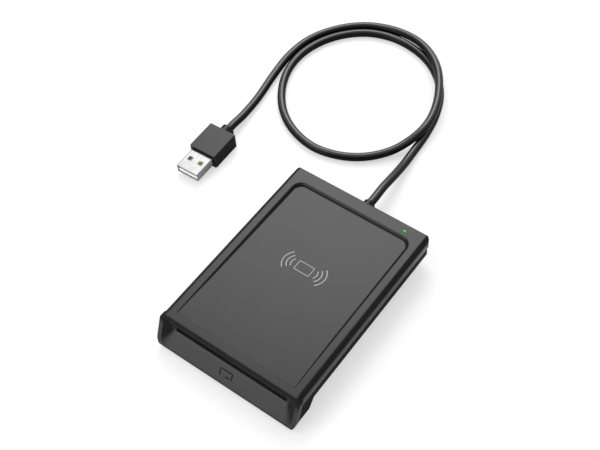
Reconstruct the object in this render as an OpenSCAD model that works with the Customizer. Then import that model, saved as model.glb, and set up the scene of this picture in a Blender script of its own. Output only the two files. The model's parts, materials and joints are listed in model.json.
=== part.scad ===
// Desktop smart card reader with a contact slot in its raked front, a contactless
// tap zone on its roof and a fixed USB-A lead that loops on the table.
// X runs across the body, Y from the card mouth to the lead, Z up from the table.

/* [Body] */
// Distance from a card's edge to the side face of the body
side_build = 8.01; // [7.6:0.01:10]
// Length of the body, from the lip of the mouth to the rear face
body_l = 99; // [97:0.5:120]
// Height of the roof above the table
body_h = 17; // [16.5:0.5:19]
// Height of the seam between the two covers, above the underside
seam_rise = 6.1; // [5:0.1:6.3]
// Height of the seam groove
seam_gap = 0.4; // [0.2:0.1:0.6]
// Thickness of floor and roof
wall = 1.8; // [1.6:0.1:2]
// Thickness of the side walls
side_wall = 2.4; // [2.2:0.1:2.6]
// Thickness of the rear wall
rear_wall = 2.2; // [2:0.1:2.4]
// Radius of the roof's side edges
top_edge_r = 2.4; // [1.6:0.1:2.6]
// Radius of the upright rear corners
corner_r = 2.5; // [1:0.1:3]
// Radius of the roof's rear edge
rear_edge_r = 0.6; // [0.3:0.1:1]
// Radius of the underside's edges
under_edge_r = 1.6; // [1:0.1:2.4]
// Drop from the roof to where the side starts to curve in
bow_drop = 3.5; // [3:0.1:4.5]
// Radius of that curve
bow_r = 15; // [12:1:20]
// Amount by which the lower cover stands inside the upper one's width
lower_inset = 0.45; // [0.3:0.05:0.6]

/* [Mouth] */
// Angle of the front plane from upright
rake = 22.8; // [15:0.1:26]
// Radius of the lip at the foot of the front
lip_r = 1.5; // [0.8:0.1:2]
// Radius of the edge between roof and front
brow_r = 0.6; // [0.3:0.1:1]
// Depth of the ring round the mouth, along the body
ring_depth = 2; // [1.5:0.1:2.5]
// Height of the ring's upper bar
brow_bar = 1.25; // [1:0.05:1.6]
// Width of the ring's side bars
side_bar = 2; // [1.5:0.1:2.4]
// Amount by which the ring stands out beside the body
ring_proud = 0.6; // [0.3:0.1:0.8]
// Radius of the ring's upper outer corners
ring_top_r = 2.8; // [2:0.1:3]
// Radius of the ring's lower outer corners
ring_corner_r = 5; // [4:0.1:5.2]
// Radius of the mouth's lower corners
mouth_corner_r = 4; // [2:0.1:4.2]
// Radius of the mouth's upper corners
mouth_top_r = 1.2; // [0.6:0.1:1.5]
// Height of the ramp's front edge above the table
ramp_foot_h = 2.6; // [2.5:0.1:3.5]
// Distance from the roof's front edge back to the rear face of the funnel
funnel_back = 2.3; // [2:0.1:3]
// Setback of the slot's lower edge from the front plane's upper edge
slot_low_setback = -0.7; // [-1:0.1:-0.4]
// Setback of the slot's upper edge from the front plane's upper edge
slot_high_setback = 0.1; // [0:0.1:0.5]

/* [Front foot] */
// Thickness by which the rubber pads stand out
pad_proud = 0.4; // [0.3:0.1:0.8]
// Length of the foot block's bottom, from the lip
foot_l = 12.2; // [11:0.1:16]
// Diameter of a rubber pad
pad_d = 7; // [5:0.5:8]
// Depth of the seat of a pad
pad_seat = 0.6; // [0.4:0.1:0.8]
// Distance of the front pads from the side faces
front_pad_side = 11; // [8:1:16]

/* [Rear foot] */
// Distance of the rear foot from the side faces
rear_foot_side = 11; // [8:1:18]
// Length of the rear foot
rear_foot_l = 10; // [9:0.5:12]
// Distance from the rear face to the middle of the rear foot
rear_foot_inset = 11; // [11:0.5:16]
// Radius of the rear foot's corners
rear_foot_r = 2; // [1:0.5:3]
// Distance of the rear pads from the ends of the rear foot
rear_pad_inset = 6; // [5:0.5:8]

/* [Tap zone] */
// Distance of the sunk panel from the side faces
panel_side = 5; // [4.5:0.1:8]
// Distance from the roof's front edge to the panel
panel_front_gap = 3.4; // [3:0.1:6]
// Distance from the rear face to the panel
panel_rear_gap = 6; // [5.5:0.1:10]
// Depth of the panel at its front edge
panel_front_depth = 0.15; // [0.1:0.05:0.3]
// Depth of the panel at its rear edge
panel_rear_depth = 1.2; // [0.6:0.1:1.3]
// Run of the panel's upper, flatter bevel for each unit of depth
panel_upper_lean = 2.2; // [1.8:0.1:2.6]
// Setback of the panel's lower, steeper bevel from the upper one's edge
panel_lower_set = 0.7; // [0.5:0.1:0.9]
// Run of the lower bevel for each unit of depth
panel_lower_lean = 0.6; // [0.4:0.1:1]
// Radius of the panel's rear corners at the roof
panel_corner_r = 5; // [4:0.1:6]

/* [Card] */
// Width of an ID-1 card
card_w = 53.98; // [53.9:0.01:54.05]
// Depth to which a card goes in past the slot
card_depth = 45; // [42:1:46]
// Room beside the card in the slot
slot_side_gap = 1.21; // [1:0.01:1.5]
// Height of the slot
slot_h = 1.3; // [1.2:0.1:1.5]
// Step from the slot's lower edge down to the card's bed
slot_step = 0.1; // [0.05:0.05:0.2]

/* [Contact unit] */
// Height of the card's bed above the main board
bed_h = 1; // [0.9:0.05:1.1]
// Clearance beside the card
card_side_gap = 0.4; // [0.2:0.1:0.6]
// Thickness of the unit's side rails
rail_w = 1.8; // [1.2:0.1:2]
// Thickness of the channel's cover
channel_cover_t = 0.8; // [0.5:0.1:1]
// Thickness of the stop at the end of the channel
stop_t = 2.5; // [1.5:0.5:3]
// Distance from the card's leading edge to its first row of contact areas
chip_near = 11.25; // [11:0.05:11.5]
// Distance from the card's leading edge to its second row of contact areas
chip_far = 18.87; // [18.6:0.01:19.1]
// Pitch of the contact areas across the card
chip_pitch = 2.54; // [2.4:0.01:2.6]
// Offset of the contact areas from the card's middle
chip_offset = 3.1; // [2.5:0.1:3.5]
// Length of a contact spring
spring_l = 5; // [4.5:0.1:5.4]
// Thickness of a contact spring
spring_t = 0.2; // [0.15:0.05:0.25]
// Width of a contact spring
spring_w = 0.9; // [0.6:0.1:1.2]
// Amount by which a spring stands into the card's path
spring_lift = 0.4; // [0.2:0.05:0.5]
// Width of the card-present blade
blade_w = 2; // [1.5:0.1:3]
// Distance of that blade from the middle
blade_x = 15; // [12:1:20]

/* [Boards] */
// Thickness of the main board
board_t = 1.2; // [1:0.1:1.2]
// Height of the main board above the floor
board_lift = 0.8; // [0.6:0.1:1]
// Distance by which the main board stands inside the contact unit's rails
board_gap = 0.3; // [0:0.1:1]
// Gap between main board and rear wall
board_rear_gap = 0.6; // [0.4:0.1:1]
// Distance from the contact unit's front to the main board
board_setback = 3.6; // [3:0.1:6]
// Thickness of the antenna board
aerial_t = 0.8; // [0.6:0.1:0.9]
// Distance of the antenna board's edges from the main board's edges
aerial_side = 5; // [4.5:0.1:8]
// Gap between the channel's cover and the antenna board
aerial_gap = 0.4; // [0.3:0.1:0.8]
// Height of the roof's underside above the antenna board
aerial_head = 0.7; // [0.5:0.1:1]
// Distance from the funnel to the antenna board
aerial_front_gap = 10.5; // [8:0.5:16]
// Distance from the antenna board to the lead's header
aerial_rear_gap = 7; // [5:0.5:10]

/* [Screws] */
// Distance of the screws from the side faces
screw_inset = 6.5; // [6:0.1:7]
// Distance of the rear screws from the rear face
screw_rear = 8; // [8:0.5:12]
// Gap between the contact unit and the bosses of the front screws
screw_front_gap = 1.7; // [1:0.1:4]
// Diameter of the screw's shank
screw_d = 2.5; // [2:0.1:2.8]
// Diameter of the screw's head
screw_head_d = 4.6; // [4:0.1:5]
// Height of the screw's head
screw_head_h = 1.6; // [1.2:0.1:1.8]
// Length of the screw under its head
screw_l = 6; // [4:0.5:7]
// Diameter of the screw bosses
boss_d = 7; // [6.6:0.1:7.2]

/* [Light] */
// Diameter of the light
light_d = 1.6; // [1.2:0.1:2.4]
// Distance of the light from the right side face
light_side = 10.9; // [10:0.1:12]
// Distance of the light from the rear face
light_rear = 3.6; // [3.6:0.1:5]

/* [Lead] */
// Diameter of the lead
cord_d = 4; // [3.4:0.1:4.2]
// Diameter of the strain relief's collar
relief_d = 5.4; // [5:0.1:6]
// Length of that collar outside the body
relief_l = 5.5; // [4:0.1:5.5]
// Diameter of its neck in the rear wall
relief_neck_d = 4.6; // [4:0.1:4.8]
// Height of the lead's axis above the floor inside
relief_rise = 1.6; // [1.5:0.1:1.8]

/* [Plug] */
// Width of the plug's grip
grip_w = 15.2; // [14:0.1:16]
// Length of the plug's grip
grip_l = 16; // [12:0.5:20]
// Height of the plug's grip
grip_h = 7.8; // [7.4:0.1:9]
// Radius of the grip's long edges
grip_edge_r = 0.9; // [0.5:0.1:2]
// Diameter of the grip's collar
grip_collar_d = 6.6; // [5:0.1:7]
// Length of the grip's collar
grip_collar_l = 3.5; // [2:0.1:5]
// Width of the USB-A shell
shell_w = 12; // [11.9:0.05:12.1]
// Height of the USB-A shell
shell_h = 4.5; // [4.4:0.05:4.6]
// Thickness of the shell's sheet
shell_t = 0.3; // [0.2:0.05:0.4]
// Length of the shell outside the grip
shell_l = 11.75; // [11:0.05:12]
// Length of the shell inside the grip
shell_root = 5; // [3:0.5:6]
// Side of a window in the shell
window_w = 2.3; // [1.8:0.1:2.8]

/* [Hidden] */
$fn = 64;

// One overrun for every cut, and one clearance between fitted faces
over = 0.5;
fit = 0.1;

// Heights of the stack inside, from the floor up to the roof
channel_h = slot_h + 2 * slot_step;
case_h = 2 * wall + board_lift + board_t + bed_h + channel_h + channel_cover_t
    + aerial_gap + aerial_t + aerial_head + panel_rear_depth;
under_h = body_h - case_h;
seam_h = under_h + seam_rise;
floor_z = under_h + wall;
board_z = floor_z + board_lift;
board_top = board_z + board_t;
bed_z = board_top + bed_h;
channel_top = bed_z + channel_h;
aerial_z = channel_top + channel_cover_t + aerial_gap;
aerial_top = aerial_z + aerial_t;
slot_z = bed_z + slot_step;
relief_z = floor_z + relief_rise;

// Places along the body, whose lip stands out in front of the origin by its reach
body_w = card_w + 2 * side_build;
half_w = body_w / 2;
ring_w = body_w + 2 * ring_proud;
lip_reach = 50;
front_end = -lip_reach;
rear_y = body_l - lip_reach;
lip_y = lip_r - lip_reach;
lip_z = pad_proud + lip_r;
// Front plane and the plane behind the ring, as places along Y at a height
function front_y(z) = lip_y - lip_r / cos(rake) + (z - lip_z) * tan(rake);
function ring_back_y(z) = front_y(z) + ring_depth;
brow_y = front_y(body_h);

// Inside of the covers
inner_x = half_w - side_wall;
inner_rear = rear_y - rear_wall;
panel_front = brow_y + panel_front_gap;
panel_rear = rear_y - panel_rear_gap;
function panel_z(y) = body_h - panel_front_depth
    - (panel_rear_depth - panel_front_depth) * (y - panel_front) / (panel_rear - panel_front);
function ceiling_z(y) = panel_z(min(y, panel_rear)) - wall;
upper_seam = seam_h + seam_gap / 2;
lower_seam = seam_h - seam_gap / 2;
tongue_t = 0.75;
tongue_h = 1.8;
lower_x = half_w - lower_inset;
lower_rear = rear_y - lower_inset;
foot_rear_y = foot_l - lip_reach;
// The slope behind the foot rises four parts in a run of three
slope = [3, 4];
slope_angle = atan2(slope[1], slope[0]);
foot_slope_y = foot_rear_y + (under_h - pad_proud) * slope[0] / slope[1];
foot_corner = [foot_rear_y, pad_proud];
tray_corner = [foot_slope_y, under_h];
function mitre_at(p, rise) = p + rise * [-tan(slope_angle / 2), 1];

// Card slot, funnel and contact unit along Y
slot_w = card_w + 2 * slot_side_gap;
slot_low_y = brow_y + slot_low_setback;
slot_high_y = brow_y + slot_high_setback;
funnel_rear = brow_y + funnel_back;
frame_front = funnel_rear + fit;
card_stop_y = slot_high_y + card_depth;
frame_rear = card_stop_y + stop_t;
channel_x = card_w / 2 + card_side_gap;
frame_x = channel_x + rail_w;
contact_x = [for (i = [-1.5:1.5]) chip_offset + i * chip_pitch];
near_row_y = card_stop_y - chip_near;
far_row_y = card_stop_y - chip_far;

// Contact springs: a root bar on the hinge axis and a bent blade to the bump
spring_root_r = 0.25;
spring_seat_gap = 0.15;
spring_axis_z = board_top + spring_seat_gap + spring_root_r;
crest_share = 0.86;
window_gap = 0.4;
near_root_y = near_row_y - crest_share * spring_l;
far_root_y = far_row_y - crest_share * spring_l;
blade_root_y = card_stop_y - spring_l - 2 * window_gap;

// Lead header and strain relief inside the body
relief_block_w = 7.6;
relief_block_l = 2.2;
relief_block_h = 4.6;
relief_in_y = inner_rear - lower_inset - relief_block_l;
relief_out_y = rear_y + relief_l;
header_w = 9.6;
header_l = 4;
header_h = 3;
header_gap = 3.6;
header_y = relief_in_y - header_gap - header_l;
lead_d = 1.1;
lead_pitch = 2;
lead_z = board_top + header_h / 2;
relief_slot_x = relief_neck_d / 2 + fit;
board_slot_gap = 0.6;
board_slot_w = relief_block_w + 2 * board_slot_gap;

// Main and antenna boards
board_x = frame_x - board_gap;
board_rear = inner_rear - board_rear_gap;
board_front = frame_front + board_setback;
aerial_x = board_x - aerial_side;
aerial_front = funnel_rear + aerial_front_gap;
aerial_rear = header_y - aerial_rear_gap + header_l;
post_d = 3;
post_inset = 2;
standoff_d = 4;
standoff_side = 9;
standoff_inset = 12;

// Electronics: places from the contact unit's rear end and from the board's middle
reader_chip_size = [7, 8, 1.2];
reader_chip_x = 9;
reader_chip_back = 10;
radio_chip_size = [5.2, 6, 1];
radio_chip_x = 7;
radio_chip_back = 8;
chip_leg = [0.8, 0.35, 0.2];
crystal_size = [3.2, 2.5, 0.8];
crystal_x = 1;
crystal_back = 14;
small_part = [1.6, 0.8, 0.6];
small_part_x = 13;
small_part_back = 4;
small_part_pitch = 3;
large_part = [3, 2.2, 1.4];
large_part_x = 15;
large_part_back = 12;
large_part_pitch = 4;
link_size = [5.1, 2.5, 2.5];
link_pin_d = 0.6;
link_x = 16;
link_inset = 8;
coil_track = 0.8;
coil_pitch = 1.6;
coil_margin = 4.5;
coil_t = 0.1;
switch_pad = [1.6, 1.2, 0.15];
chip_window = [16, 14];

// Screws
screw_x = half_w - screw_inset;
screw_ys = [frame_rear + screw_front_gap + boss_d / 2, rear_y - screw_rear];
screw_sink = 0.6;
screw_seat_z = under_h + screw_sink + screw_head_h;
screw_gap = 0.2;
screw_cross = [2.2, 0.55, 0.8];
boss_meet_z = board_top + 2 * fit;
boss_notch_d = boss_d + 2 * board_slot_gap;

// Status light
light_x = half_w - light_side;
light_y = rear_y - light_rear;
light_chip_w = 1.8;
light_chip_h = 0.8;
light_flange_d = 2.2;
light_flange_h = 0.8;

// Rubber feet
front_pad_x = half_w - front_pad_side;
front_pad_y = (lip_y + foot_rear_y) / 2;
rear_foot_w = body_w - 2 * rear_foot_side;
rear_pad_x = rear_foot_w / 2 - rear_pad_inset;
rear_foot_y = rear_y - rear_foot_inset;
pad_places = [
    [front_pad_x, front_pad_y], [-front_pad_x, front_pad_y],
    [rear_pad_x, rear_foot_y], [-rear_pad_x, rear_foot_y]
];

// Plug: its origin is where the lead enters it, and its tip points to -Y
plug_place = [-82.5, 56.5, 0];
plug_turn = 1.7;
plug_axis_z = grip_h / 2;
grip_y = -grip_collar_l;
grip_front = grip_y - grip_l;
shell_tip = grip_front - shell_l;
shell_back = grip_front + shell_root;
plug_dir = [-sin(plug_turn), cos(plug_turn), 0];
shell_edge_r = 0.5;
window_x = 2.9;
window_inset = 5.2;
insert_drop = 0.5;
insert_t = shell_h / 2 - shell_t;
insert_z = plug_axis_z - shell_h / 2 + shell_t;
strip_w = 1;
strip_t = 0.15;
strip_x = [1, 3.5];
strip_inset = [2, 1];

// Route of the lead, from the strain relief to the plug
cord_route = [
    [0, 54.5, 8.4], [0, 59, 8.4], [-0.5, 66, 7.8], [-1, 75, 5.9], [-2, 85, 3.3], [-3, 95, 2.2],
    [-4, 107, 2.1], [-6.5, 119.5, 2.1], [-11.5, 131.5, 2.1], [-19.5, 141.5, 2.1],
    [-30, 148.5, 2.1], [-42, 152, 2.1], [-54, 152, 2.1], [-65.5, 148, 2.1], [-75, 140, 2.1],
    [-81.5, 129.5, 2.1], [-84.5, 117, 2.1], [-83, 104, 2.1], [-77.5, 92, 2.1],
    [-68.5, 81.5, 2.1], [-57, 74.5, 2.1], [-44, 71.5, 2.1], [-31.5, 73.5, 2.1],
    [-21, 79, 2.2], [-13, 87, 2.7], [-8, 95.5, 4.1], [-5, 106, 6.2], [-6.5, 118, 6.4],
    [-12, 131, 6.4], [-20.5, 143, 6.3], [-31.5, 151.5, 5.6], [-43.5, 155.5, 4.7],
    [-57, 155.5, 3.4], [-69.5, 151, 2.6], [-80, 141.5, 2.3], [-87, 128.5, 2.3],
    [-89, 114, 2.2], [-87.5, 99, 2.1], [-84.5, 82, 2.1], [-83, 69, 2.9],
    [-82.6, 61, 3.9], [-82.5, 56.5, 3.9]
];
cord_sides = 8;

case_black = "#2b2b2c";
case_edge = "#262627";
board_green = "#1f5a3a";
part_black = "#1c1c1e";
gold = "#c9a545";
steel = "#c4c6c8";
rubber_black = "#202020";
print_white = "#e8e8e4";

// A convex outline with its corners rounded by true arcs
function unit(v) = v / norm(v);
function to_last(pts, i) = unit(pts[(i + len(pts) - 1) % len(pts)] - pts[i]);
function to_next(pts, i) = unit(pts[(i + 1) % len(pts)] - pts[i]);
function half_angle(pts, i) = acos(to_last(pts, i) * to_next(pts, i)) / 2;

module rounded_outline(pts, radii) {
    polygon([
        for (i = [0:len(pts) - 1])
            each radii[i] > 0
                ? [pts[i] + to_last(pts, i) * radii[i] / tan(half_angle(pts, i)),
                   pts[i] + to_next(pts, i) * radii[i] / tan(half_angle(pts, i))]
                : [pts[i]]
    ]);
    for (i = [0:len(pts) - 1])
        if (radii[i] > 0)
            translate(pts[i] + unit(to_last(pts, i) + to_next(pts, i)) * radii[i] / sin(half_angle(pts, i)))
                circle(radii[i]);
}

// A box outline from x0 to x1 and y0 to y1, with radii at its low and high corners
module box_outline(x0, x1, y0, y1, low_r, high_r) {
    rounded_outline([[x0, y0], [x1, y0], [x1, y1], [x0, y1]], [low_r, low_r, high_r, high_r]);
}

// A section drawn across the body, carried along Y
module along_y(y0, y1) {
    translate([0, y1, 0]) rotate([90, 0, 0]) linear_extrude(y1 - y0) children();
}

// A profile drawn in Y and Z, carried along X
module along_x(w) {
    rotate([90, 0, 90]) linear_extrude(w, center = true) children();
}

// A box from its lowest corner to its highest
module span(low, high) {
    translate(low) cube(high - low);
}

module rod(d, h) {
    cylinder(d = d, h = h);
}

// Space of the card funnel: from the slot out to the mouth in the front plane
module funnel_space() {
    mouth_x = ring_w / 2 - side_bar;
    mouth_h = (body_h - brow_bar - ramp_foot_h) / cos(rake);
    hull() {
        span([-slot_w / 2, slot_low_y, slot_z], [slot_w / 2, slot_low_y + fit, slot_z + fit]);
        span([-slot_w / 2, slot_high_y, slot_z + slot_h - fit],
            [slot_w / 2, slot_high_y + fit, slot_z + slot_h]);
        translate([0, front_y(ramp_foot_h), ramp_foot_h]) rotate([90 - rake, 0, 0])
            translate([0, 0, -fit]) linear_extrude(fit + over)
                box_outline(-mouth_x, mouth_x, 0, mouth_h, mouth_corner_r, mouth_top_r, $fn = 32);
    }
}

// Side profile of the whole body, with the lip and the brow rounded
module front_profile() {
    rounded_outline([
        [front_y(pad_proud), pad_proud], [brow_y, body_h], [rear_y, body_h], [rear_y, pad_proud]
    ], [lip_r, brow_r, 0, 0]);
}

// The slab between the front plane and the plane behind the ring, as a side profile
module ring_slab() {
    low = pad_proud - over;
    high = body_h + over;
    polygon([
        [front_y(low) - over, low], [front_y(high) - over, high],
        [ring_back_y(high), high], [ring_back_y(low), low]
    ]);
}

// Everything behind the ring, as a side profile
module behind_ring(low, high, gap) {
    polygon([
        [ring_back_y(low) + gap, low], [ring_back_y(high) + gap, high],
        [rear_y + over, high], [rear_y + over, low]
    ]);
}

// Side faces that curve in below the roof's edge
module bowed_sides() {
    bow_z = body_h - bow_drop;
    bow_x = half_w - bow_r;
    span([-half_w - over, -body_l, bow_z], [half_w + over, body_l, body_h + over]);
    span([-bow_x, -body_l, 0], [bow_x, body_l, bow_z]);
    for (s = [-1, 1])
        translate([s * bow_x, body_l, bow_z]) rotate([90, 0, 0]) rod(2 * bow_r, 2 * body_l, $fn = 96);
}

module upper_block() {
    intersection() {
        along_y(brow_y - over, rear_y) box_outline(-half_w, half_w, upper_seam, body_h, 0, top_edge_r);
        along_x(body_w) rounded_outline([
            [ring_back_y(upper_seam) - over, upper_seam], [rear_y, upper_seam], [rear_y, body_h],
            [ring_back_y(body_h) - over, body_h]
        ], [0, 0, rear_edge_r, 0]);
        linear_extrude(body_h + over) box_outline(-half_w, half_w, front_end, rear_y, 0, corner_r);
        bowed_sides();
    }
    intersection() {
        along_y(front_end - over, brow_y + ring_depth + over)
            box_outline(-ring_w / 2, ring_w / 2, pad_proud, body_h, ring_corner_r, ring_top_r);
        along_x(ring_w) front_profile();
        along_x(ring_w + over) ring_slab();
    }
}

// Space of the sunk panel: two bevels at its sides, rear and rear corners, and a sloping floor
module panel_space() {
    top = body_h + over;
    intersection() {
        union() {
            panel_bevel(0, panel_upper_lean);
            panel_bevel(panel_lower_set, panel_lower_lean);
        }
        along_x(body_w) polygon([
            [panel_front, panel_z(panel_front)], [rear_y, panel_z(rear_y)],
            [rear_y, top], [panel_front, top]
        ]);
    }
}

// One bevel of the panel: set back at the roof, and narrower by its lean with depth
module panel_bevel(setback, lean) {
    top = body_h + over;
    low = body_h - wall;
    px = half_w - panel_side;
    cx = px - panel_corner_r;
    cy = panel_rear - panel_corner_r;
    function in_by(z) = setback + (body_h - z) * lean;
    along_y(panel_front, cy) polygon([
        [in_by(low) - px, low], [px - in_by(low), low],
        [px - in_by(top), top], [in_by(top) - px, top]
    ]);
    along_x(2 * cx) polygon([
        [panel_front, low], [panel_rear - in_by(low), low],
        [panel_rear - in_by(top), top], [panel_front, top]
    ]);
    for (s = [-1, 1])
        translate([s * cx, cy, low])
            cylinder(r1 = panel_corner_r - in_by(low), r2 = panel_corner_r - in_by(top), h = top - low);
}

// Space inside the upper cover
module upper_space() {
    low = upper_seam - over;
    high = lower_seam + tongue_h;
    front_ceiling = ceiling_z(panel_front);
    along_x(2 * inner_x) polygon([
        [ring_back_y(low) - fit, low], [ring_back_y(front_ceiling) - fit, front_ceiling],
        [panel_rear, ceiling_z(panel_rear)], [inner_rear, ceiling_z(panel_rear)], [inner_rear, low]
    ]);
    // Rebate for the lower cover's tongue
    along_x(2 * (inner_x + tongue_t + fit)) polygon([
        [ring_back_y(low) - fit, low], [ring_back_y(high) - fit, high],
        [inner_rear + tongue_t + fit, high], [inner_rear + tongue_t + fit, low]
    ]);
}

// Round hole for the strain relief's neck, through the rear wall
module relief_hole() {
    translate([0, rear_y + over, relief_z]) rotate([90, 0, 0])
        rod(2 * relief_slot_x, rear_wall + lower_inset + 2 * over);
}

// Slot above that hole, through the rear wall of the lower cover and its tongue
module relief_slot() {
    span([-relief_slot_x, inner_rear - lower_inset - over, relief_z], [relief_slot_x, rear_y + over, body_h]);
}

// Tab of the upper cover that closes the slot down to the neck
module relief_tab() {
    tab_x = relief_slot_x - fit;
    span([-tab_x, inner_rear, relief_z + relief_slot_x / 2], [tab_x, rear_y, upper_seam + tongue_h]);
}

module top_cover() {
    screw_hole_h = screw_l - boss_meet_z + screw_seat_z + 2 * over;
    color(case_black) difference() {
        union() {
            difference() {
                upper_block();
                upper_space();
            }
            relief_tab();
            for (s = [-1, 1], y = screw_ys)
                translate([s * screw_x, y, boss_meet_z]) rod(boss_d, ceiling_z(y) + fit - boss_meet_z);
            for (s = [-1, 1], y = [aerial_front + post_inset, aerial_rear - post_inset])
                translate([s * (aerial_x - post_inset), y, aerial_top])
                    rod(post_d, ceiling_z(y) + fit - aerial_top);
        }
        panel_space();
        funnel_space();
        for (s = [-1, 1], y = screw_ys)
            translate([s * screw_x, y, boss_meet_z - over]) rod(screw_d + fit, screw_hole_h);
        translate([light_x, light_y, ceiling_z(light_y) - over]) rod(light_d + fit, body_h);
        relief_hole();
    }
}

// Side profile of the lower cover's foot block, as deep and as far in as asked
module foot_profile(drop, inward, gap) {
    shift = inward * [-slope[1], slope[0]] / norm(slope);
    start = [foot_rear_y, pad_proud] + shift;
    function slope_y(z) = start[0] + (z - start[1]) * slope[0] / slope[1];
    low = pad_proud + drop;
    high = under_h + drop;
    polygon([
        [ring_back_y(low) + gap, low], [slope_y(low), low], [slope_y(high), high],
        [slope_y(high), lower_seam + drop], [ring_back_y(lower_seam + drop) + gap, lower_seam + drop]
    ]);
}

// Outline of a run of the lower cover, from its bottom up
module run_outline(bottom) {
    box_outline(-lower_x, lower_x, bottom, bottom + body_h, under_edge_r, 0);
}

// Side profile between two mitre lines that lean as the foot's slope asks
module between_mitres(front, rear) {
    rise = lower_seam + over;
    polygon([
        mitre_at(front, -over), mitre_at(rear, -over), mitre_at(rear, rise), mitre_at(front, rise)
    ]);
}

// The three runs of the lower cover, each with the same rounded lower edges
module lower_block() {
    intersection() {
        along_y(front_end, rear_y) run_outline(pad_proud);
        along_x(body_w) intersection() {
            foot_profile(0, 0, fit);
            between_mitres([-body_l, pad_proud], foot_corner);
        }
    }
    intersection() {
        translate([0, foot_corner[0], foot_corner[1]]) rotate([slope_angle, 0, 0])
            along_y(-body_h, body_h) run_outline(0);
        along_x(body_w) intersection() {
            between_mitres(foot_corner, tray_corner);
            translate([-body_l, 0]) square([2 * body_l, lower_seam]);
        }
    }
    intersection() {
        along_y(front_end, lower_rear) run_outline(under_h);
        along_x(body_w) intersection() {
            rounded_outline([
                [foot_rear_y, under_h], [lower_rear, under_h],
                [lower_rear, lower_seam], [foot_rear_y, lower_seam]
            ], [0, under_edge_r, 0, 0]);
            between_mitres(tray_corner, [body_l, under_h]);
        }
        linear_extrude(body_h)
            box_outline(-lower_x, lower_x, front_end, lower_rear, 0, corner_r - lower_inset);
    }
    // Hollow rear foot
    translate([0, rear_foot_y, pad_proud]) linear_extrude(under_h - pad_proud + fit)
        box_outline(-rear_foot_w / 2, rear_foot_w / 2, -rear_foot_l / 2, rear_foot_l / 2,
            rear_foot_r, rear_foot_r);
}

// Space inside the lower cover: the tray, the well behind the mouth and the rear foot
module lower_space() {
    rear = inner_rear - lower_inset;
    span([-inner_x, foot_slope_y - wall, floor_z], [inner_x, rear, body_h]);
    along_x(2 * inner_x) foot_profile(wall, wall, -over);
    span([-rear_foot_w / 2 + wall, rear_foot_y - rear_foot_l / 2 + wall, pad_proud + wall],
        [rear_foot_w / 2 - wall, rear_foot_y + rear_foot_l / 2 - wall, body_h]);
}

module tongue() {
    rear = inner_rear + tongue_t;
    low = lower_seam - over;
    high = lower_seam + tongue_h;
    difference() {
        intersection() {
            span([-inner_x - tongue_t, front_end, low], [inner_x + tongue_t, rear, high]);
            along_x(body_w) behind_ring(low, high, 2 * fit);
        }
        span([-inner_x, front_end - over, low - over], [inner_x, inner_rear - lower_inset, high + over]);
    }
}

module bottom_cover() {
    color(case_edge) difference() {
        union() {
            difference() {
                lower_block();
                lower_space();
            }
            tongue();
            for (s = [-1, 1], y = screw_ys)
                translate([s * screw_x, y, under_h + fit]) rod(boss_d, boss_meet_z - under_h - fit);
            for (s = [-1, 1], y = [board_front + standoff_inset, rear_foot_y - standoff_inset])
                translate([s * (board_x - standoff_side), y, floor_z - fit]) rod(standoff_d, board_lift + fit);
        }
        for (s = [-1, 1], y = screw_ys)
            translate([s * screw_x, y, 0]) {
                rod(screw_head_d + 2 * screw_gap, screw_seat_z);
                rod(screw_d + 2 * screw_gap, body_h);
            }
        for (p = pad_places)
            translate([p[0], p[1], pad_proud - over]) rod(pad_d + 2 * fit, over + pad_seat);
        relief_hole();
        relief_slot();
    }
}

module card_funnel() {
    top = ceiling_z(panel_front) - fit;
    foot = pad_proud + wall;
    ramp = [front_y(ramp_foot_h) - slot_low_y, ramp_foot_h - slot_z];
    ramp_t = 2;
    back = ramp_t * [-ramp[1], ramp[0]] / norm(ramp);
    under = [slot_low_y, slot_z] + back;
    foot_y = under[0] + (foot - under[1]) * ramp[0] / ramp[1];
    guide_x = inner_x - fit;
    color(case_black) difference() {
        along_x(2 * guide_x) polygon([
            [ring_back_y(foot), foot], [foot_y, foot], under, [funnel_rear, under[1]],
            [funnel_rear, top], [ring_back_y(top), top]
        ]);
        funnel_space();
        span([-slot_w / 2, slot_low_y, slot_z], [slot_w / 2, funnel_rear + over, slot_z + slot_h]);
    }
}

module light_pipe() {
    foot = board_top + light_chip_h + fit;
    color("#46e664") translate([light_x, light_y, 0]) {
        translate([0, 0, foot]) rod(light_d, body_h - foot);
        translate([0, 0, ceiling_z(light_y) - light_flange_h]) rod(light_flange_d, light_flange_h);
    }
}

module main_board() {
    color(board_green) translate([0, 0, board_z]) linear_extrude(board_t) difference() {
        translate([-board_x, board_front]) square([2 * board_x, board_rear - board_front]);
        for (s = [-1, 1], y = screw_ys) {
            translate([s * screw_x, y]) circle(d = boss_notch_d);
            translate([s * (screw_x + boss_notch_d / 2), y]) square(boss_notch_d, center = true);
        }
        translate([-board_slot_w / 2, relief_in_y - fit]) square([board_slot_w, body_l]);
    }
}

// A chip with a row of legs along two sides, seated on the main board
module chip(x, back, size, legs) {
    pitch = size[1] / (legs + 1);
    translate([x, frame_rear + back, board_top]) {
        color(part_black) translate([-size[0] / 2, -size[1] / 2, 0]) cube(size);
        color(steel) for (s = [-1, 1], i = [1:legs])
            translate([s * (size[0] + chip_leg[0]) / 2, i * pitch - size[1] / 2, chip_leg[2] / 2])
                cube(chip_leg, center = true);
    }
}

module reader_chip() chip(reader_chip_x, reader_chip_back, reader_chip_size, 10);

module radio_chip() chip(-radio_chip_x, radio_chip_back, radio_chip_size, 8);

module crystal() {
    color(steel) translate([crystal_x - crystal_size[0] / 2, frame_rear + crystal_back, board_top])
        cube(crystal_size);
}

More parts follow.
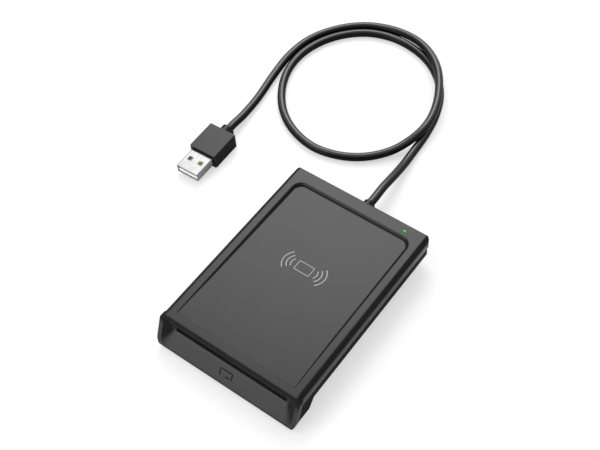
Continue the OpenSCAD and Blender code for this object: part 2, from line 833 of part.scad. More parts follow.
// Small capacitors and resistors in a grid, and two larger capacitors
module board_parts() {
    color("#8a7350") translate([-small_part_x, frame_rear + small_part_back, board_top])
        for (i = [0:2], k = [0:2])
            translate([-i * small_part_pitch, k * small_part_pitch, 0]) cube(small_part);
    color("#5a4a2c") translate([large_part_x, frame_rear + large_part_back, board_top])
        for (i = [0:1])
            translate([i * large_part_pitch, 0, 0]) cube(large_part);
}

module light_chip() {
    color(print_white) translate([light_x - light_chip_w / 2, light_y - light_chip_w / 2, board_top])
        cube([light_chip_w, light_chip_w, light_chip_h]);
}

// Window in the card's bed that springs come up through
module spring_window(y, x0, x1) {
    span([x0 - window_gap, y - spring_root_r - window_gap, board_top - over],
        [x1 + window_gap, y + spring_l + window_gap, bed_z + over]);
}

module card_frame() {
    blade = [-blade_x - blade_w / 2, -blade_x + blade_w / 2];
    color(part_black) difference() {
        union() {
            span([-frame_x, frame_front, board_top], [frame_x, frame_rear, bed_z]);
            for (x = [-frame_x, channel_x])
                span([x, frame_front, bed_z - fit], [x + rail_w, frame_rear, channel_top]);
            span([-frame_x, card_stop_y, bed_z - fit], [frame_x, frame_rear, channel_top]);
        }
        for (y = [near_root_y, far_root_y])
            spring_window(y, contact_x[0] - spring_w / 2, contact_x[3] + spring_w / 2);
        spring_window(blade_root_y, blade[0], blade[1]);
    }
}

module card_frame_cover() {
    color(steel) difference() {
        span([-frame_x, frame_front, channel_top], [frame_x, frame_rear, channel_top + channel_cover_t]);
        translate([chip_offset, (near_row_y + far_row_y) / 2, channel_top + channel_cover_t / 2])
            cube([chip_window[0], chip_window[1], channel_cover_t + 2 * over], center = true);
    }
}

// One spring, hinged at its root and rising to a bump that the card presses down
module spring(w) {
    l = spring_l;
    bump_z = bed_z + spring_lift - spring_axis_z;
    shoulder_share = 0.2;
    tip_drop = 2 * spring_t;
    rotate([0, 0, 90]) rotate([90, 0, 0]) linear_extrude(w, center = true) polygon([
        [0, -spring_t / 2], [l * shoulder_share, -spring_t / 2], [l * crest_share, bump_z - spring_t],
        [l, bump_z - spring_t - tip_drop], [l, bump_z - tip_drop], [l * crest_share, bump_z],
        [l * shoulder_share, spring_t / 2], [0, spring_t / 2]
    ]);
    translate([-w / 2, 0, 0]) rotate([0, 90, 0]) rod(2 * spring_root_r, w, $fn = 24);
}

module contact_row(y) {
    color(gold) for (x = contact_x)
        translate([x, y, spring_axis_z]) spring(spring_w);
}

module front_contacts() contact_row(far_root_y);

module rear_contacts() contact_row(near_root_y);

module card_switch_blade() {
    color(gold) translate([-blade_x, blade_root_y, spring_axis_z]) spring(blade_w);
}

module card_switch_contact() {
    color(gold) translate([-blade_x - switch_pad[0] / 2, blade_root_y + spring_l - switch_pad[1], board_top])
        cube(switch_pad);
}

module antenna_board() {
    color(board_green) span([-aerial_x, aerial_front, aerial_z], [aerial_x, aerial_rear, aerial_top]);
}

// Four printed turns round the antenna board
module antenna_coil() {
    color(gold) translate([0, 0, aerial_top]) linear_extrude(coil_t)
        for (i = [0:3]) {
            x = aerial_x - coil_margin - i * coil_pitch;
            y0 = aerial_front + coil_margin + i * coil_pitch;
            y1 = aerial_rear - coil_margin - i * coil_pitch;
            difference() {
                translate([-x, y0]) square([2 * x, y1 - y0]);
                translate([-x + coil_track, y0 + coil_track])
                    square([2 * (x - coil_track), y1 - y0 - 2 * coil_track]);
            }
        }
}

// Pin header that joins the two boards
module antenna_link() {
    color(part_black) translate([-link_x, aerial_rear - link_inset, board_top]) {
        translate([-link_size[0] / 2, -link_size[1] / 2, 0]) cube(link_size);
        for (s = [-1, 1])
            translate([s * link_size[0] / 4, 0, link_size[2] / 2])
                rod(link_pin_d, aerial_z - board_top - link_size[2] / 2);
    }
}

module cord_header() {
    color(print_white) span([-header_w / 2, header_y, board_top],
        [header_w / 2, header_y + header_l, board_top + header_h]);
}

// Four stripped leads from the strain relief to their header
module cord_leads() {
    for (i = [-1.5:1.5])
        color(["#b03030", "#e0e0e0", "#2f8f4a", "#1b1b1b"][i + 1.5])
            translate([i * lead_pitch, relief_in_y, lead_z]) rotate([90, 0, 0]) rod(lead_d, header_gap);
}

module strain_relief() {
    color(rubber_black) {
        translate([0, relief_out_y, relief_z]) rotate([90, 0, 0]) rod(relief_d, relief_l);
        translate([0, rear_y + fit, relief_z]) rotate([90, 0, 0])
            rod(relief_neck_d, rear_wall + lower_inset + 2 * fit);
        span([-relief_block_w / 2, relief_in_y, floor_z],
            [relief_block_w / 2, relief_in_y + relief_block_l, floor_z + relief_block_h]);
    }
}

// The route's points with one more between each pair, on a smooth curve
function route_point(i) = cord_route[max(0, min(len(cord_route) - 1, i))];
function between(i) =
    (9 * (route_point(i) + route_point(i + 1)) - route_point(i - 1) - route_point(i + 2)) / 16;
cord_line = [
    for (i = [0:len(cord_route) - 1])
        each i < 1 || i > len(cord_route) - 3 ? [route_point(i)] : [route_point(i), between(i)]
];
function cord_heading(i) =
    i == 0 ? [0, 1, 0]
    : i == len(cord_line) - 1 ? -plug_dir
    : unit(cord_line[i + 1] - cord_line[i - 1]);
function cord_ring(i) =
    let (
        ahead = cord_heading(i),
        side = unit(cross(ahead, [0, 0, 1])),
        rise = cross(side, ahead)
    )
    [for (k = [0:cord_sides - 1])
        let (turn = 360 * (k + 0.5) / cord_sides)
        cord_line[i] + cord_d / 2 * (cos(turn) * side + sin(turn) * rise)];

module usb_cord() {
    rings = len(cord_line);
    color(rubber_black) polyhedron(
        points = [for (i = [0:rings - 1]) each cord_ring(i)],
        faces = [
            [for (k = [0:cord_sides - 1]) k],
            [for (k = [cord_sides - 1:-1:0]) (rings - 1) * cord_sides + k],
            for (i = [0:rings - 2], k = [0:cord_sides - 1])
                let (a = i * cord_sides + k, b = i * cord_sides + (k + 1) % cord_sides)
                each [[a, a + cord_sides, b], [b, a + cord_sides, b + cord_sides]]
        ]
    );
}

module plug_space() {
    translate(plug_place) rotate([0, 0, plug_turn]) children();
}

module plug_grip() {
    color(rubber_black) plug_space() difference() {
        union() {
            intersection() {
                along_y(grip_front, grip_y)
                    box_outline(-grip_w / 2, grip_w / 2, 0, grip_h, grip_edge_r, grip_edge_r);
                linear_extrude(grip_h)
                    box_outline(-grip_w / 2, grip_w / 2, grip_front, grip_y, grip_edge_r, grip_edge_r);
            }
            translate([0, grip_y, plug_axis_z]) rotate([-90, 0, 0]) translate([0, 0, -over])
                rod(grip_collar_d, grip_collar_l + over);
        }
        translate([0, 0, plug_axis_z]) span(
            [-shell_w / 2, grip_front - over, -shell_h / 2],
            [shell_w / 2, shell_back, shell_h / 2]
        );
    }
}

module plug_shell() {
    color(steel) plug_space() translate([0, 0, plug_axis_z]) difference() {
        along_y(shell_tip, shell_back)
            box_outline(-shell_w / 2, shell_w / 2, -shell_h / 2, shell_h / 2, shell_edge_r, shell_edge_r);
        span([-shell_w / 2 + shell_t, shell_tip - over, -shell_h / 2 + shell_t],
            [shell_w / 2 - shell_t, shell_back + over, shell_h / 2 - shell_t]);
        for (s = [-1, 1])
            translate([s * window_x, shell_tip + window_inset + window_w / 2, 0])
                cube([window_w, window_w, shell_h + over], center = true);
    }
}

module plug_tongue() {
    half = shell_w / 2 - shell_t;
    color(print_white) plug_space() translate([0, 0, insert_z])
        span([-half, shell_tip + insert_drop, 0], [half, shell_back, insert_t]);
}

// Four strips on the tongue, the middle two set further back
module plug_contacts() {
    color(gold) plug_space() for (s = [-1, 1], k = [0, 1])
        translate([s * strip_x[k], 0, insert_z + insert_t])
            span([-strip_w / 2, shell_tip + strip_inset[k], 0], [strip_w / 2, shell_back, strip_t]);
}

module case_screws() {
    color(steel) for (s = [-1, 1], y = screw_ys)
        translate([s * screw_x, y, screw_seat_z]) difference() {
            union() {
                translate([0, 0, -screw_head_h]) rod(screw_head_d, screw_head_h);
                rod(screw_d, screw_l);
            }
            for (turn = [0, 90])
                translate([0, 0, -screw_head_h]) rotate([0, 0, turn])
                    cube([screw_cross[0], screw_cross[1], 2 * screw_cross[2]], center = true);
        }
}

module rubber_feet() {
    color(rubber_black) for (p = pad_places)
        translate([p[0], p[1], 0]) rod(pad_d, pad_proud + pad_seat);
}

top_cover();
bottom_cover();
card_funnel();
light_pipe();
main_board();
reader_chip();
radio_chip();
crystal();
board_parts();
light_chip();
card_frame();
card_frame_cover();
front_contacts();
rear_contacts();
card_switch_blade();
card_switch_contact();
antenna_board();
antenna_coil();
antenna_link();
cord_header();
cord_leads();
strain_relief();
usb_cord();
plug_grip();
plug_shell();
plug_tongue();
plug_contacts();
case_screws();
rubber_feet();
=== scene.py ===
"""Looks of the desktop card reader: finishes, the lead, the printed marks, light and camera."""

import json
import math

import bmesh
import bpy
from mathutils import Matrix, Vector


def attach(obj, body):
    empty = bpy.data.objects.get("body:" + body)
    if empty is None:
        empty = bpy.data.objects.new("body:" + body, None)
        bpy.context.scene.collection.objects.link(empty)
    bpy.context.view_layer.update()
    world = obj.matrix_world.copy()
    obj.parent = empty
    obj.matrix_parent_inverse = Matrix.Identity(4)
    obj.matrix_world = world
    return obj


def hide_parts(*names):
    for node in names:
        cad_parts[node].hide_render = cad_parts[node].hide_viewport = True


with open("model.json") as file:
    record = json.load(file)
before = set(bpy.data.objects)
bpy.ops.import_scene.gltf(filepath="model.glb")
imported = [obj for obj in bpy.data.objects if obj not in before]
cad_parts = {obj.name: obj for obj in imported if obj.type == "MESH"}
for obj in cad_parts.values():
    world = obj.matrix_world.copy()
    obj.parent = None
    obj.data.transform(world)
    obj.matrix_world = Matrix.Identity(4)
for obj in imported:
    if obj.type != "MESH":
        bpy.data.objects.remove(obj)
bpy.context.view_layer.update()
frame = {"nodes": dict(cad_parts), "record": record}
MM = 0.001


# Camera: position, turn and lens fitted to the photograph, in millimetres and degrees
CAMERA_PLACE = Vector((161.99, -180.65, 382.5))
CAMERA_AZIMUTH = 40.89
CAMERA_ELEVATION = 53.59
CAMERA_ROLL = -5.52
FOCAL_PIXELS = 1065
FRAME_PIXELS = 600
SENSOR_MM = 36
NEAREST_SEEN = 0.01
FARTHEST_SEEN = 20


def make_camera():
    azimuth, elevation, roll = map(math.radians, (CAMERA_AZIMUTH, CAMERA_ELEVATION, CAMERA_ROLL))
    back = Vector((
        math.sin(azimuth) * math.cos(elevation),
        -math.cos(azimuth) * math.cos(elevation),
        math.sin(elevation),
    ))
    level = Vector((math.cos(azimuth), math.sin(azimuth), 0))
    above = back.cross(level)
    right = level * math.cos(roll) + above * math.sin(roll)
    up = above * math.cos(roll) - level * math.sin(roll)
    data = bpy.data.cameras.new("camera")
    data.sensor_width = SENSOR_MM
    data.lens = FOCAL_PIXELS / FRAME_PIXELS * SENSOR_MM
    data.clip_start = NEAREST_SEEN
    data.clip_end = FARTHEST_SEEN
    camera = bpy.data.objects.new("camera", data)
    turn = Matrix((right, up, back)).transposed().to_4x4()
    camera.matrix_world = Matrix.Translation(CAMERA_PLACE * MM) @ turn
    bpy.context.scene.collection.objects.link(camera)
    bpy.context.scene.camera = camera


make_camera()


# Lead: the route from the strain relief to the plug, in metres
CORD_D = 4 * MM
CORD_ROUTE = [
    (0, 0.0545, 0.0084), (0, 0.059, 0.0084), (-0.0005, 0.066, 0.0078), (-0.001, 0.075, 0.0059),
    (-0.002, 0.085, 0.0033), (-0.003, 0.095, 0.0022), (-0.004, 0.107, 0.0021),
    (-0.0065, 0.1195, 0.0021), (-0.0115, 0.1315, 0.0021), (-0.0195, 0.1415, 0.0021),
    (-0.03, 0.1485, 0.0021), (-0.042, 0.152, 0.0021), (-0.054, 0.152, 0.0021),
    (-0.0655, 0.148, 0.0021), (-0.075, 0.14, 0.0021), (-0.0815, 0.1295, 0.0021),
    (-0.0845, 0.117, 0.0021), (-0.083, 0.104, 0.0021), (-0.0775, 0.092, 0.0021),
    (-0.0685, 0.0815, 0.0021), (-0.057, 0.0745, 0.0021), (-0.044, 0.0715, 0.0021),
    (-0.0315, 0.0735, 0.0021), (-0.021, 0.079, 0.0022), (-0.013, 0.087, 0.0027),
    (-0.008, 0.0955, 0.0041), (-0.005, 0.106, 0.0062), (-0.0065, 0.118, 0.0064),
    (-0.012, 0.131, 0.0064), (-0.0205, 0.143, 0.0063), (-0.0315, 0.1515, 0.0056),
    (-0.0435, 0.1555, 0.0047), (-0.057, 0.1555, 0.0034), (-0.0695, 0.151, 0.0026),
    (-0.08, 0.1415, 0.0023), (-0.087, 0.1285, 0.0023), (-0.089, 0.114, 0.0022),
    (-0.0875, 0.099, 0.0021), (-0.0845, 0.082, 0.0021), (-0.083, 0.069, 0.0029),
    (-0.0826, 0.061, 0.0039), (-0.0825, 0.0565, 0.0039),
]
STEPS_BETWEEN = 5
CORD_SIDES = 20


def smooth_line(points, steps):
    """A Catmull-Rom line through the points, with so many steps between each pair."""
    pts = [Vector(p) for p in points]
    ends = [2 * pts[0] - pts[1], *pts, 2 * pts[-1] - pts[-2]]
    line = []
    for i in range(1, len(ends) - 2):
        a, b, c, d = ends[i - 1:i + 3]
        for k in range(steps):
            t = k / steps
            line.append(0.5 * (
                2 * b + (c - a) * t + (2 * a - 5 * b + 4 * c - d) * t ** 2
                + (3 * b - a - 3 * c + d) * t ** 3
            ))
    return [*line, pts[-1]]


def link(obj):
    bpy.context.scene.collection.objects.link(obj)
    return obj


def tube(name, line, radius, sides):
    """A round tube along the line, capped at both ends, with its rings kept free of twist."""
    mesh = bmesh.new()
    rings = []
    side = Vector((1, 0, 0))
    for i, place in enumerate(line):
        along = (line[min(i + 1, len(line) - 1)] - line[max(i - 1, 0)]).normalized()
        side = (side - along * side.dot(along)).normalized()
        over = along.cross(side)
        turns = (2 * math.pi * k / sides for k in range(sides))
        rings.append([
            mesh.verts.new(place + (side * math.cos(t) + over * math.sin(t)) * radius) for t in turns
        ])
    for a, b in zip(rings, rings[1:]):
        for k in range(sides):
            n = (k + 1) % sides
            mesh.faces.new((a[k], a[n], b[n], b[k])).smooth = True
    mesh.faces.new(rings[0][::-1])
    mesh.faces.new(rings[-1])
    data = bpy.data.meshes.new(name)
    mesh.to_mesh(data)
    mesh.free()
    return link(bpy.data.objects.new(name, data))


def make_cord():
    line = smooth_line(CORD_ROUTE, STEPS_BETWEEN)
    cord = tube("cord_jacket", line, CORD_D / 2, CORD_SIDES)
    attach(cord, "reader")
    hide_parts("usb_cord")
    return cord


cord = make_cord()


# Materials
WHITE = (1, 1, 1, 1)
NOISE_LOW = 0.3
NOISE_HIGH = 0.7
# Painted shade: how far a face leans, from 0 to 1, sets its shine. The first two stops are level,
# the next two are a rounded edge, and the last two are a side
LEAN_STOPS = (0, 0.1, 0.3, 0.9, 0.985, 1)
# A lean to the front counts for this share where the normal's Y is at its first limit, for nothing
# at its second, and it fades in over so many millimetres of height
FRONT_SHARE = 0.3
FRONT_FULL = -0.8
FRONT_NONE = -0.1
LEAN_FADE = 4


class Nodes:
    """An emptied node tree, with short ways to add nodes and to join them."""

    def __init__(self, tree):
        self.tree = tree
        self.tree.nodes.clear()

    def node(self, kind, **sockets):
        made = self.tree.nodes.new(kind)
        for key, value in sockets.items():
            made.inputs[key.replace("_", " ")].default_value = value
        return made

    def join(self, a, b):
        self.tree.links.new(a, b)

    def calculate(self, operation, a, b=None):
        made = self.node("ShaderNodeMath")
        made.operation = operation
        self.join(a, made.inputs[0])
        if b is not None:
            self.join(b, made.inputs[1])
        return made.outputs[0]

    def mix_shaders(self, factor, a, b):
        made = self.node("ShaderNodeMixShader")
        self.join(factor, made.inputs["Fac"])
        self.join(a.outputs[0], made.inputs[1])
        self.join(b.outputs[0], made.inputs[2])
        return made


class Shader(Nodes):
    """The node tree of a new material, made round one Principled shader."""

    def __init__(self, name):
        self.material = bpy.data.materials.new(name)
        self.material.use_nodes = True
        super().__init__(self.material.node_tree)
        self.out = self.node("ShaderNodeOutputMaterial")
        self.shader = self.node("ShaderNodeBsdfPrincipled")
        self.join(self.shader.outputs["BSDF"], self.out.inputs["Surface"])
        self.place = self.node("ShaderNodeTexCoord").outputs["Object"]

    def set(self, **sockets):
        for key, value in sockets.items():
            self.shader.inputs[key.replace("_", " ")].default_value = value

    def feed(self, **sockets):
        for key, value in sockets.items():
            self.join(value, self.shader.inputs[key.replace("_", " ")])

    def noise(self, scale, detail=2, rough=0.5):
        made = self.node("ShaderNodeTexNoise", Scale=scale, Detail=detail, Roughness=rough)
        self.join(self.place, made.inputs["Vector"])
        return made.outputs["Fac"]

    def stretch(self, value, low, high, from_low=NOISE_LOW, from_high=NOISE_HIGH):
        """The value moved from one range to another, by default from the usual range of a noise."""
        made = self.node(
            "ShaderNodeMapRange", From_Min=from_low, From_Max=from_high, To_Min=low, To_Max=high
        )
        self.join(value, made.inputs["Value"])
        return made.outputs["Result"]

    def mix(self, factor, low, high):
        made = self.node("ShaderNodeMix")
        made.data_type = "RGBA"
        self.join(factor, made.inputs["Factor"])
        made.inputs["A"].default_value = (*low, 1)
        made.inputs["B"].default_value = (*high, 1)
        return made.outputs["Result"]

    def split(self, vector):
        made = self.node("ShaderNodeSeparateXYZ")
        self.join(vector, made.inputs[0])
        return made.outputs

    def painted_shade_by_lean(self, level, edge, side, over_mm=None):
        """One number for faces that lie level, one for rounded edges and one for sides: painted
        shade.

        It counts any lean to the left or right, and a lean to the front only above a height.
        Without a height it counts a lean to any side alike.
        """
        face = self.split(self.node("ShaderNodeNewGeometry").outputs["Normal"])
        if over_mm is None:
            turned = self.stretch(face["Z"], 1, 0, 0, 1)
        else:
            height = self.split(self.place)["Z"]
            above = self.stretch(height, 0, 1, over_mm * MM, (over_mm + LEAN_FADE) * MM)
            ahead = self.stretch(face["Y"], FRONT_SHARE, 0, FRONT_FULL, FRONT_NONE)
            sideways = self.calculate("ABSOLUTE", face["X"])
            turned = self.calculate("MAXIMUM", sideways, self.calculate("MULTIPLY", ahead, above))
        curve = self.node("ShaderNodeFloatCurve")
        line = curve.mapping.curves[0]
        stops = list(zip(LEAN_STOPS, (level, level, edge, edge, side, side)))
        line.points[0].location = stops[0]
        line.points[1].location = stops[-1]
        for stop in stops[1:-1]:
            line.points.new(*stop)
        for point in line.points:
            point.handle_type = "VECTOR"
        curve.mapping.update()
        self.join(turned, curve.inputs["Value"])
        return curve.outputs["Value"]

    def bump(self, height, distance):
        made = self.node("ShaderNodeBump", Strength=1, Distance=distance)
        self.join(height, made.inputs["Height"])
        self.feed(Normal=made.outputs["Normal"])


def scaled(numbers, share):
    return tuple(n * share for n in numbers)


PLASTIC_IOR = 1.5
PATCH_MM = 18
PATCH_DETAIL = 3
GRAIN_ROUGH = 0.6
ROUGH_SPREAD = 0.08


def moulded(name, color, rough, level, grain_mm=0.25, depth_mm=0.004, spread=0.12, lean=None):
    """Moulded plastic or rubber: a fine spark-eroded grain and faint patches of tone.

    level is its shine. With lean, the shine of its edges and sides is set apart by their lean, as
    painted shade.
    """
    s = Shader(name)
    s.set(IOR=PLASTIC_IOR, Specular_IOR_Level=level)
    if lean:
        s.feed(Specular_IOR_Level=s.painted_shade_by_lean(level, **lean))
    patches = s.noise(1 / (PATCH_MM * MM), PATCH_DETAIL)
    dark, pale = scaled(color, 1 - spread), scaled(color, 1 + spread)
    s.feed(Base_Color=s.mix(s.stretch(patches, 0, 1), dark, pale))
    grain = s.noise(1 / (grain_mm * MM), rough=GRAIN_ROUGH)
    smooth, coarse = rough * (1 - ROUGH_SPREAD), min(1, rough * (1 + ROUGH_SPREAD))
    s.feed(Roughness=s.stretch(grain, smooth, coarse))
    s.bump(grain, depth_mm * MM)
    return s.material


STREAK_MM = 0.6
STREAK_SHAPE = (1, 0.15, 1)
STREAK_SHADE = 0.95
STREAK_SPREAD = 0.2


def metal(name, color, rough, glow=0):
    """Plated or bare sheet metal with fine drawn streaks. A glow paints light onto metal that lies
    in shade.
    """
    s = Shader(name)
    s.set(Metallic=1)
    drawn = s.node("ShaderNodeMapping", Scale=STREAK_SHAPE)
    s.join(s.place, drawn.inputs["Vector"])
    noise = s.node("ShaderNodeTexNoise", Scale=1 / (STREAK_MM * MM), Detail=2)
    s.join(drawn.outputs["Vector"], noise.inputs["Vector"])
    streaks = noise.outputs["Fac"]
    tone = s.mix(s.stretch(streaks, 0, 1), scaled(color, STREAK_SHADE), color)
    s.feed(Base_Color=tone)
    if glow:
        s.set(Emission_Strength=glow)
        s.feed(Emission_Color=tone)
    s.feed(Roughness=s.stretch(streaks, rough * (1 - STREAK_SPREAD), rough * (1 + STREAK_SPREAD)))
    return s.material


# Status light: the middle of its lens in millimetres, and how its light fades towards the rim
LENS_CENTRE = (24.1, 45.4, 17)
LENS_FADE = (0.4, 0.8)
LENS_RIM = 0.3
LENS_ROUGH = 0.25
LENS_SHINE = 0.08


def glowing(name, color, strength):
    """The lit lens of the status light, bright round its centre and dim at its rim."""
    s = Shader(name)
    s.set(Roughness=LENS_ROUGH, Specular_IOR_Level=LENS_SHINE, Emission_Strength=strength)
    away = s.node("ShaderNodeVectorMath")
    away.operation = "DISTANCE"
    s.join(s.place, away.inputs[0])
    away.inputs[1].default_value = scaled(LENS_CENTRE, MM)
    faded = s.stretch(away.outputs["Value"], 0, 1, *scaled(LENS_FADE, MM))
    tone = s.mix(faded, color, scaled(color, LENS_RIM))
    s.feed(Base_Color=tone, Emission_Color=tone)
    return s.material


CASE = (0.0125, 0.0125, 0.0128)
# Painted shade: shine of edges and sides, and the height over which a lean to the front counts
CASE_PAINTED_SHADE = {"edge": 0.03, "side": 0.22, "over_mm": 10}
FUNNEL_PAINTED_SHADE = {"edge": 0.1, "side": 0.2, "over_mm": 10}
GRIP_PAINTED_SHADE = {"edge": 0.1, "side": 0.02, "over_mm": -LEAN_FADE}
CORD_PAINTED_SHADE = {"edge": 0.06, "side": 0.02}
looks = {
    "case": moulded("case_plastic", scaled(CASE, 0.9), rough=0.32, level=0.29, lean=CASE_PAINTED_SHADE),
    # Painted shade: the lower cover is a darker copy of the case plastic with little shine, so its
    # sides stay dark
    "case_lower": moulded("case_lower_shaded_plastic", scaled(CASE, 0.45), rough=0.6, level=0.05),
    "funnel": moulded("funnel_plastic", CASE, rough=0.32, level=0.3, lean=FUNNEL_PAINTED_SHADE),
    "lens": glowing("light_lens", (0.01, 0.4, 0.05), strength=0.4),
    "board": moulded("solder_mask", (0.01, 0.12, 0.045), rough=0.35, level=0.5, grain_mm=0.5),
    "chip": moulded("chip_epoxy", (0.012, 0.012, 0.013), rough=0.55, level=0.4),
    "contact": metal("gold_plate", (0.83, 0.6, 0.22), rough=0.22),
    "steel": metal("nickel_plate", (0.86, 0.86, 0.87), rough=0.24),
    "shell": metal("shell_plate", (0.2, 0.2, 0.203), rough=0.24),
    # Painted light: the plug's contacts glow, to light them where the shell shades them
    "plug_gold": metal("plug_gold_painted_light", (0.83, 0.56, 0.16), rough=0.3, glow=0.4),
    "unit": moulded("unit_plastic", (0.015, 0.015, 0.016), rough=0.5, level=0.4),
    "white": moulded("white_plastic", (0.8, 0.8, 0.78), rough=0.4, level=0.5, spread=0.03),
    "cord": moulded(
        "cord_vinyl", (0.005, 0.005, 0.0052), rough=0.24, level=0.5,
        grain_mm=0.6, depth_mm=0.006, lean=CORD_PAINTED_SHADE,
    ),
    "grip": moulded("grip_vinyl", (0.008, 0.008, 0.0083), rough=0.45, level=0.4, lean=GRIP_PAINTED_SHADE),
    "pad": moulded("pad_rubber", (0.015, 0.015, 0.015), rough=0.8, level=0.3),
    "parts": moulded("ceramic", (0.3, 0.2, 0.09), rough=0.4, level=0.5),
    "leads": moulded("wire_insulation", (0.4, 0.05, 0.04), rough=0.4, level=0.5),
    "print": moulded("pale_print", (0.34, 0.34, 0.34), rough=0.5, level=0.3, spread=0.05),
    "slot_print": moulded("slot_print", (0.002, 0.002, 0.002), rough=0.8, level=0.05, spread=0.05),
}

# Nodes with a look of their own; the others have that of their slot in the record
OWN_LOOKS = {"card_funnel": "funnel", "plug_shell": "shell", "plug_contacts": "plug_gold"}


def dress_nodes():
    slots = {row["node"]: row["material_slot"] for row in frame["record"]["subparts"]}
    for name, obj in frame["nodes"].items():
        material = looks[OWN_LOOKS.get(name, slots[name])]
        for i in range(len(obj.data.materials)):
            obj.data.materials[i] = material
        if not obj.data.materials:
            obj.data.materials.append(material)


dress_nodes()
cord.data.materials.append(looks["cord"])


# Printed and moulded marks, in millimetres. The panel slopes from its front edge to its rear edge,
# each given as (y, z).
PRINT_LIFT = 0.02
PRINT_THICK = 0.03
MITRE_LIMIT = 0.5
PANEL_FRONT = (-40.38, 16.85)
PANEL_REAR = (43, 15.8)


def panel_height(y_mm):
    """The height of the panel's face so far along the body."""
    share = (y_mm - PANEL_FRONT[0]) / (PANEL_REAR[0] - PANEL_FRONT[0])
    return PANEL_FRONT[1] + share * (PANEL_REAR[1] - PANEL_FRONT[1])


def ribbon(name, strokes, lay, look):
    """A flat line along each stroke, which is its (x, y) points, whether it closes, and its width.

    lay turns a point and its height over the surface into a place in the frame.
    """
    mesh = bmesh.new()
    for stroke, closed, width_mm in strokes:
        pts = [Vector(p) for p in stroke]
        count = len(pts)
        edges = []
        for i, p in enumerate(pts):
            before = pts[i - 1] if i or closed else pts[i]
            after = pts[(i + 1) % count] if i < count - 1 or closed else pts[i]
            into = (p - before).normalized() if p != before else (after - p).normalized()
            out = (after - p).normalized() if after != p else into
            mean = (into + out).normalized()
            side = Vector((-mean.y, mean.x)) / max(MITRE_LIMIT, mean.dot(out))
            edges.append([
                [
                    mesh.verts.new(lay(*(p + hand * side * width_mm / 2), PRINT_LIFT + rise))
                    for rise in (0, PRINT_THICK)
                ]
                for hand in (-1, 1)
            ])
        last = count if closed else count - 1
        for i in range(last):
            a, b = edges[i], edges[(i + 1) % count]
            mesh.faces.new((a[0][1], b[0][1], b[1][1], a[1][1]))
            mesh.faces.new((a[1][0], b[1][0], b[0][0], a[0][0]))
            mesh.faces.new((a[0][0], b[0][0], b[0][1], a[0][1]))
            mesh.faces.new((a[1][1], b[1][1], b[1][0], a[1][0]))
        if not closed:
            for ring in (edges[0], edges[-1][::-1]):
                mesh.faces.new((ring[0][0], ring[0][1], ring[1][1], ring[1][0]))
    bmesh.ops.recalc_face_normals(mesh, faces=mesh.faces)
    data = bpy.data.meshes.new(name)
    mesh.to_mesh(data)
    mesh.free()
    piece = link(bpy.data.objects.new(name, data))
    piece.data.materials.append(looks[look])
    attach(piece, "reader")
    return piece


def arc(cx, cy, radius, low, high, steps=12):
    """Points along a circle from one angle to another, in degrees."""
    return [
        (cx + radius * math.cos(math.radians(a)), cy + radius * math.sin(math.radians(a)))
        for a in (low + (high - low) * i / steps for i in range(steps + 1))
    ]


def rounded_frame(cx, cy, w, h, r, steps=4):
    """Points round a rectangle with rounded corners."""
    corners = ((1, 1, 0), (-1, 1, 90), (-1, -1, 180), (1, -1, 270))
    return [
        p
        for sx, sy, start in corners
        for p in arc(cx + sx * (w / 2 - r), cy + sy * (h / 2 - r), r, start, start + 90, steps)
    ]


def on_panel(x, y, lift):
    """A place so far above a point of the panel."""
    return Vector((x, y, panel_height(y) + lift)) * MM


# Sign on the panel: a card between waves, each wave given by how far it reaches from the middle,
# its radius, and half its angle in degrees
TAP_CENTRE = (-0.08, 6.5)
TAP_CARD = (7.4, 4.7)
TAP_CARD_CORNER = 0.15
TAP_CARD_LINE = 0.3
TAP_WAVES = ((6.45, 3.19, 38.4), (8.35, 4.33, 47.5), (10.4, 5.98, 49.5))
TAP_WAVE_LINE = 0.42


def make_tap_mark():
    """A card's outline with three waves on each side."""
    cx, cy = TAP_CENTRE
    strokes = [(rounded_frame(cx, cy, *TAP_CARD, TAP_CARD_CORNER), True, TAP_CARD_LINE)]
    for reach, radius, half in TAP_WAVES:
        off = reach - radius
        for wave in (
            arc(cx + off, cy, radius, -half, half),
            arc(cx - off, cy, radius, 180 - half, 180 + half),
        ):
            strokes.append((wave, False, TAP_WAVE_LINE))
    ribbon("tap_mark", strokes, on_panel, "print")


make_tap_mark()

# Painted shadow: a fine dark line along the panel's front edge, in the dark print look, for the
# shade at its step
PANEL_SHADOW_LINE = [(-29.6, -40.34), (29.6, -40.34)]
PANEL_SHADOW_LINE_WIDTH = 0.13
ribbon("panel_front_shadow_line", [(PANEL_SHADOW_LINE, False, PANEL_SHADOW_LINE_WIDTH)], on_panel, "slot_print")


# Moulded sign on the ramp: a card's outline on its way in, with a short line beside it. The ramp's
# front and rear edges are given as (y, z).
RAMP_FRONT = (-49.83, 2.6)
RAMP_REAR = (-44.48, 9.9)


def on_ramp(x, up, lift):
    """A place so far above the ramp, at a point so far up it from its front edge."""
    along = Vector((0, RAMP_REAR[0] - RAMP_FRONT[0], RAMP_REAR[1] - RAMP_FRONT[1])).normalized()
    off = Vector((0, -along.z, along.y))
    return (Vector((x, *RAMP_FRONT)) + along * up + off * lift) * MM


SLOT_LINE = 0.32
SLOT_STROKES = [
    [(-2.5, 3.3), (-3.2, 3.3), (-3.2, 6.0), (-2.7, 6.1)],
    [(-2.4, 6.1), (2.7, 6.1), (2.8, 3.3), (2.4, 3.3)],
    [(-0.2, 3.4), (1.8, 3.4)],
]
ribbon("slot_mark", [(stroke, False, SLOT_LINE) for stroke in SLOT_STROKES], on_ramp, "slot_print")


# Floor, world and lamps, in metres
FLOOR_COLOR = (0.95, 0.95, 0.95)
FLOOR_SHADE = 0.99
FLOOR_SIZE = 1.6
FLOOR_BELOW = 0.02 * MM
FLOOR_FADE = (0.3, 0.7)
PAPER_PATCHES = 4
PAPER_ROUGH = 0.9
PAPER_SHINE = 0.1
SHADOW_SOFTENING = 0.5
WORLD_LIGHT = 0.8


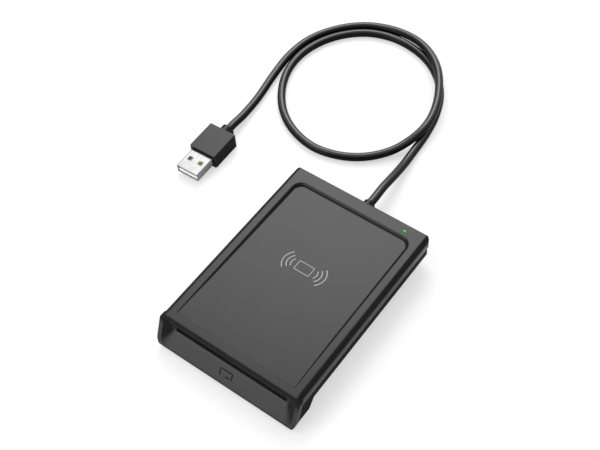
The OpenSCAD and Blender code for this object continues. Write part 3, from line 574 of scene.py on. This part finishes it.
def make_floor():
    """Pale paper that fades into the white surroundings well away from the object."""
    data = bpy.data.meshes.new("floor")
    half = FLOOR_SIZE / 2
    corners = ((-half, -half), (half, -half), (half, half), (-half, half))
    data.from_pydata([(x, y, -FLOOR_BELOW) for x, y in corners], [], [(0, 1, 2, 3)])
    floor = link(bpy.data.objects.new("floor", data))
    s = Shader("floor_paper")
    s.set(Roughness=PAPER_ROUGH, Specular_IOR_Level=PAPER_SHINE)
    patches = s.stretch(s.noise(PAPER_PATCHES), 0, 1)
    s.feed(Base_Color=s.mix(patches, scaled(FLOOR_COLOR, FLOOR_SHADE), FLOOR_COLOR))
    reach = s.node("ShaderNodeVectorMath")
    reach.operation = "LENGTH"
    s.join(s.place, reach.inputs[0])
    faded = s.stretch(reach.outputs["Value"], 0, 1, *FLOOR_FADE)
    paper = s.mix_shaders(faded, s.shader, s.node("ShaderNodeBsdfTransparent"))
    seen = s.node("ShaderNodeLightPath").outputs["Is Camera Ray"]
    softened = s.stretch(seen, 0, SHADOW_SOFTENING, 0, 1)
    pale = s.mix_shaders(softened, paper, s.node("ShaderNodeEmission", Strength=1))
    s.join(pale.outputs[0], s.out.inputs["Surface"])
    floor.data.materials.append(s.material)


def make_world():
    """White to the camera and in reflections, and a little dimmer as a light."""
    world = bpy.data.worlds.new("studio")
    bpy.context.scene.world = world
    world.use_nodes = True
    n = Nodes(world.node_tree)
    rays = n.node("ShaderNodeLightPath").outputs
    seen = n.calculate("MAXIMUM", rays["Is Camera Ray"], rays["Is Glossy Ray"])
    seen = n.calculate("MAXIMUM", seen, rays["Is Transmission Ray"])
    light = n.node("ShaderNodeBackground", Color=WHITE, Strength=WORLD_LIGHT)
    white = n.node("ShaderNodeBackground", Color=WHITE, Strength=1)
    out = n.node("ShaderNodeOutputWorld")
    n.join(n.mix_shaders(seen, light, white).outputs[0], out.inputs["Surface"])


LAMP_DISTANCE = 1
LAMPS = (
    {"name": "rear_lamp", "direction": (-0.36, 0.6, 0.74), "size": (0.6, 0.6), "radiance": 5},
    {"name": "top_lamp", "direction": (-0.39, -0.3, 0.86), "size": (0.3, 0.3), "radiance": 3},
    {"name": "front_lamp", "direction": (-0.39, -0.9, 0.24), "size": (0.6, 0.25), "radiance": 6.2},
)


def make_lamp(name, direction, size, radiance):
    """A rectangular soft lamp in a direction from the object, facing it."""
    data = bpy.data.lights.new(name, "AREA")
    data.shape = "RECTANGLE"
    data.size, data.size_y = size
    data.energy = radiance * math.pi * size[0] * size[1]
    obj = link(bpy.data.objects.new(name, data))
    way = Vector(direction).normalized()
    obj.location = way * LAMP_DISTANCE
    obj.rotation_euler = way.to_track_quat("Z", "Y").to_euler()


make_floor()
make_world()
for row in LAMPS:
    make_lamp(**row)

bpy.context.scene.view_settings.view_transform = "Standard"
